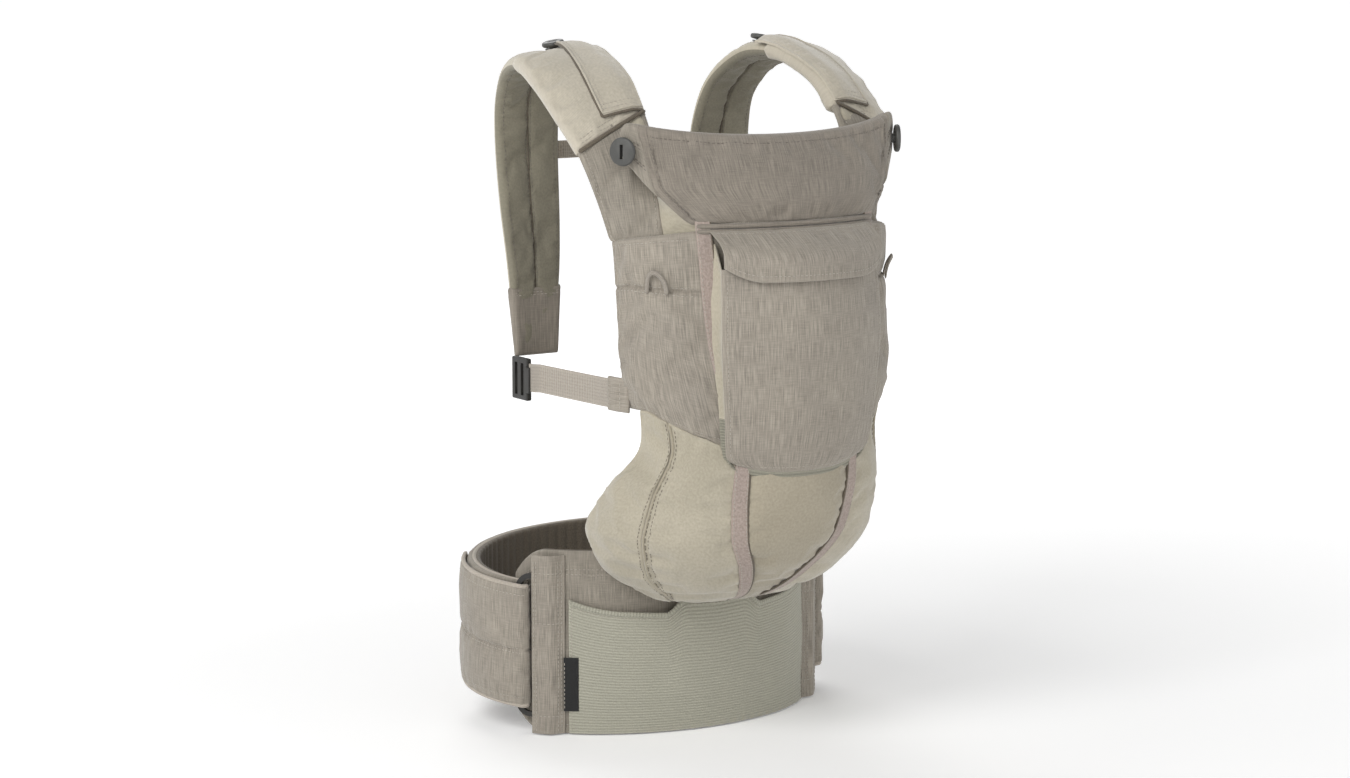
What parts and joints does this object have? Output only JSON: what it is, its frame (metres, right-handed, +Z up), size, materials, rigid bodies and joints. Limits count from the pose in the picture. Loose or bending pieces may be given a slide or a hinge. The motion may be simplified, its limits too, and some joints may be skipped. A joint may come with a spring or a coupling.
{
  "type": "soft baby carrier",
  "caption": "Soft structured baby carrier with a wide waist belt, pouch seat, padded headrest, front pocket and arched shoulder straps.",
  "frame": {"origin": "centre of the waist ring, level with the belt's lowest edge", "axes": "+Z up, -Y the outer front of the carrier, +X to the right seen from the front with -Y towards the viewer"},
  "size_m": [0.3944, 0.4801, 0.6817],
  "materials": {
    "melange_fabric": "matt woven melange",
    "tan_knit": "soft fine knit",
    "mauve_webbing": "flat woven strip",
    "stretch_mesh": "fine ribbed stretch mesh",
    "lining": "quilted lining",
    "flat_webbing": "woven webbing",
    "elastic_tape": "knitted elastic",
    "dark_plastic": "moulded satin"
  },
  "bodies": {
    "carrier": {"belt_foldback_left": "melange_fabric", "belt_foldback_right": "melange_fabric", "belt_front_lining": "lining", "belt_front_panel": "melange_fabric", "belt_loop_left": "dark_plastic", "belt_loop_right": "dark_plastic", "belt_pocket": "stretch_mesh", "belt_strip_left": "melange_fabric", "belt_strip_right": "melange_fabric", "belt_wing_lining_left": "lining", "belt_wing_lining_right": "lining", "belt_wing_shell_left": "melange_fabric", "belt_wing_shell_right": "melange_fabric", "body_back_panel": "melange_fabric", "body_strip_left": "mauve_webbing", "body_strip_right": "mauve_webbing", "headrest_button_left": "dark_plastic", "headrest_button_right": "dark_plastic", "pocket_front": "melange_fabric", "pocket_gusset_left": "stretch_mesh", "pocket_gusset_right": "stretch_mesh", "seat_centre_panel": "tan_knit", "seat_front_gore_left": "tan_knit", "seat_front_gore_right": "tan_knit", "seat_side_gore_left": "tan_knit", "seat_side_gore_right": "tan_knit", "shoulder_strap_left": "tan_knit", "shoulder_strap_right": "tan_knit", "side_loop_left": "elastic_tape", "side_loop_right": "elastic_tape", "side_webbing_left": "flat_webbing", "side_webbing_right": "flat_webbing", "side_wing_left": "melange_fabric", "side_wing_right": "melange_fabric", "strap_base_left": "melange_fabric", "strap_base_right": "melange_fabric", "strap_cover_left": "tan_knit", "strap_cover_right": "tan_knit", "upper_button_left": "dark_plastic", "upper_button_right": "dark_plastic", "waist_buckle_plug": "dark_plastic", "waist_buckle_socket": "dark_plastic", "waist_webbing_left": "flat_webbing", "waist_webbing_right": "flat_webbing"},
    "headrest": {"headrest": "melange_fabric", "headrest_loop_left": "elastic_tape", "headrest_loop_right": "elastic_tape"},
    "pocket_flap": {"pocket_flap": "melange_fabric"},
    "chest_strap": {"chest_slider_left": "dark_plastic", "chest_slider_right": "dark_plastic", "chest_webbing_left": "flat_webbing", "chest_webbing_right": "flat_webbing", "chest_buckle_socket": "dark_plastic", "chest_buckle_plug": "dark_plastic"},
    "chest_arm_upper": {"chest_buckle_arm_upper": "dark_plastic"},
    "chest_arm_lower": {"chest_buckle_arm_lower": "dark_plastic"},
    "waist_arm_upper": {"waist_buckle_arm_upper": "dark_plastic"},
    "waist_arm_lower": {"waist_buckle_arm_lower": "dark_plastic"},
    "ladder_lock_left": {"ladder_lock_left": "dark_plastic"},
    "ladder_lock_right": {"ladder_lock_right": "dark_plastic"}
  },
  "joints": [
    {"name": "headrest_lean", "type": "hinge", "parent": "carrier", "child": "headrest", "pos_m": [0, -0.2785, 0.527], "axis": [1, 0, 0], "range_deg": [0, 15], "stiffness_Nm_per_rad": 0.6, "deforming": ["headrest_loop_left", "headrest_loop_right"]},
    {"name": "pocket_flap_open", "type": "hinge", "parent": "carrier", "child": "pocket_flap", "pos_m": [0, -0.272, 0.513], "axis": [-1, 0, 0], "range_deg": [0, 50]},
    {"name": "chest_strap_height", "type": "slide", "parent": "carrier", "child": "chest_strap", "axis": [0, 0, 1], "range_m": [-0.02, 0.02]},
    {"name": "waist_arm_upper_squeeze", "type": "hinge", "parent": "carrier", "child": "waist_arm_upper", "pos_m": [0.0005, 0.152, 0.11556], "axis": [0, 1, 0], "range_deg": [-9, 0], "stiffness_Nm_per_rad": 0.05},
    {"name": "waist_arm_lower_squeeze", "type": "hinge", "parent": "carrier", "child": "waist_arm_lower", "pos_m": [0.0005, 0.152, 0.09444], "axis": [0, 1, 0], "range_deg": [0, 9], "stiffness_Nm_per_rad": 0.05},
    {"name": "chest_arm_upper_squeeze", "type": "hinge", "parent": "chest_strap", "child": "chest_arm_upper", "pos_m": [0.0005, 0.052, 0.57272], "axis": [0, 1, 0], "range_deg": [-13, 0], "stiffness_Nm_per_rad": 0.05},
    {"name": "chest_arm_lower_squeeze", "type": "hinge", "parent": "chest_strap", "child": "chest_arm_lower", "pos_m": [0.0005, 0.052, 0.55928], "axis": [0, 1, 0], "range_deg": [0, 13], "stiffness_Nm_per_rad": 0.05},
    {"name": "ladder_lock_tilt_left", "type": "hinge", "parent": "carrier", "child": "ladder_lock_left", "pos_m": [-0.147, 0.005, 0.347], "axis": [0, 0, 1], "range_deg": [-30, 0]},
    {"name": "ladder_lock_tilt_right", "type": "hinge", "parent": "carrier", "child": "ladder_lock_right", "pos_m": [0.147, 0.005, 0.347], "axis": [0, 0, 1], "range_deg": [0, 30]}
  ],
  "couplings": [
    {"joint": "waist_arm_lower_squeeze", "follows": "waist_arm_upper_squeeze", "ratio": -1},
    {"joint": "chest_arm_lower_squeeze", "follows": "chest_arm_upper_squeeze", "ratio": -1}
  ]
}
